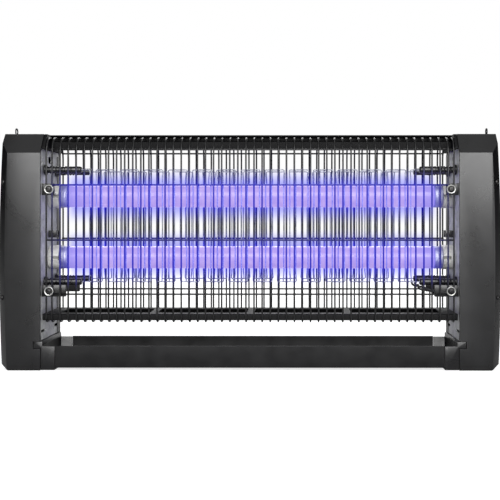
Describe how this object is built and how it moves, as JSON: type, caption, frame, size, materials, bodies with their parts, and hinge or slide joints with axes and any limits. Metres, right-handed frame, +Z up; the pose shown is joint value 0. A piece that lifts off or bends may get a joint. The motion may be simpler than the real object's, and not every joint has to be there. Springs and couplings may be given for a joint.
{
  "type": "electric bug zapper",
  "caption": "Free-standing or hanging insect killer with twin black-light tubes and high-voltage wire electrodes in a black wire cage above a slide-out insect tray.",
  "frame": {"origin": "on the floor, midway between the end housings and midway between their front and rear faces", "axes": "+X to the right seen from the front, along the lamps; +Y to the rear; +Z up"},
  "size_m": [0.557, 0.09, 0.2713],
  "materials": {
    "housing_abs": "satin moulded ABS with a fine texture",
    "galvanised_sheet": "galvanised sheet steel, dull with a faint spangle",
    "powder_coated_sheet": "black powder coat, semi-gloss",
    "black_wire": "black coated steel wire, semi-gloss",
    "black_screw": "black-oxide steel",
    "electrode_steel": "drawn steel wire",
    "lead_silicone": "silicone-insulated lead",
    "zinc_screw": "bright zinc plate",
    "insulator_nylon": "moulded nylon",
    "lamp_glass": "phosphor-coated glass, glowing violet",
    "lamp_cap_aluminium": "drawn aluminium cap",
    "holder_pbt": "white moulded PBT",
    "module_casing": "potted module casing",
    "fitting_plastic": "black moulded nylon"
  },
  "bodies": {
    "frame": {"left_housing": "housing_abs", "left_wire_clip": "housing_abs", "left_side_plate": "galvanised_sheet", "left_hanging_eye": "black_wire", "left_cover_screw_upper": "black_screw", "left_cover_screw_lower": "black_screw", "right_housing": "housing_abs", "right_wire_clip": "housing_abs", "right_side_plate": "galvanised_sheet", "right_hanging_eye": "black_wire", "right_cover_screw_upper": "black_screw", "right_cover_screw_lower": "black_screw", "top_rail": "powder_coated_sheet", "bottom_plate": "powder_coated_sheet", "front_guard": "black_wire", "front_live_electrode": "electrode_steel", "front_earth_electrode": "electrode_steel", "front_hv_lead": "lead_silicone", "front_left_guard_screw_upper": "zinc_screw", "front_left_insulator_upper": "insulator_nylon", "front_left_guard_screw_lower": "zinc_screw", "front_left_insulator_lower": "insulator_nylon", "front_right_guard_screw_upper": "zinc_screw", "front_right_insulator_upper": "insulator_nylon", "front_right_guard_screw_lower": "zinc_screw", "front_right_insulator_lower": "insulator_nylon", "rear_guard": "black_wire", "rear_live_electrode": "electrode_steel", "rear_earth_electrode": "electrode_steel", "rear_hv_lead": "lead_silicone", "rear_left_guard_screw_upper": "zinc_screw", "rear_left_insulator_upper": "insulator_nylon", "rear_left_guard_screw_lower": "zinc_screw", "rear_left_insulator_lower": "insulator_nylon", "rear_right_guard_screw_upper": "zinc_screw", "rear_right_insulator_upper": "insulator_nylon", "rear_right_guard_screw_lower": "zinc_screw", "rear_right_insulator_lower": "insulator_nylon", "upper_lamp_holder_left": "holder_pbt", "upper_lamp_holder_right": "holder_pbt", "lower_lamp_holder_left": "holder_pbt", "lower_lamp_holder_right": "holder_pbt", "lamp_ballast": "module_casing", "hv_generator": "module_casing", "mains_inlet": "fitting_plastic", "switch_body": "fitting_plastic"},
    "tray": {"tray_body": "powder_coated_sheet", "left_tray_end_cap": "housing_abs", "right_tray_end_cap": "housing_abs"},
    "upper_lamp": {"upper_lamp_glass": "lamp_glass", "upper_lamp_cap_left": "lamp_cap_aluminium", "upper_lamp_cap_right": "lamp_cap_aluminium", "upper_rotor_left": "holder_pbt", "upper_rotor_right": "holder_pbt"},
    "lower_lamp": {"lower_lamp_glass": "lamp_glass", "lower_lamp_cap_left": "lamp_cap_aluminium", "lower_lamp_cap_right": "lamp_cap_aluminium", "lower_rotor_left": "holder_pbt", "lower_rotor_right": "holder_pbt"},
    "rocker": {"switch_rocker": "fitting_plastic"}
  },
  "joints": [
    {"name": "tray_slide", "type": "slide", "parent": "frame", "child": "tray", "axis": [0, -1, 0], "range_m": [0, 0.085]},
    {"name": "upper_lamp_twist", "type": "hinge", "parent": "frame", "child": "upper_lamp", "pos_m": [0, 0, 0.1927], "axis": [1, 0, 0], "range_deg": [0, 90]},
    {"name": "lower_lamp_twist", "type": "hinge", "parent": "frame", "child": "lower_lamp", "pos_m": [0, 0, 0.1226], "axis": [1, 0, 0], "range_deg": [0, 90]},
    {"name": "switch_rock", "type": "hinge", "parent": "frame", "child": "rocker", "pos_m": [0.251, 0.0412, 0.106], "axis": [-1, 0, 0], "range_deg": [0, 20]}
  ]
}
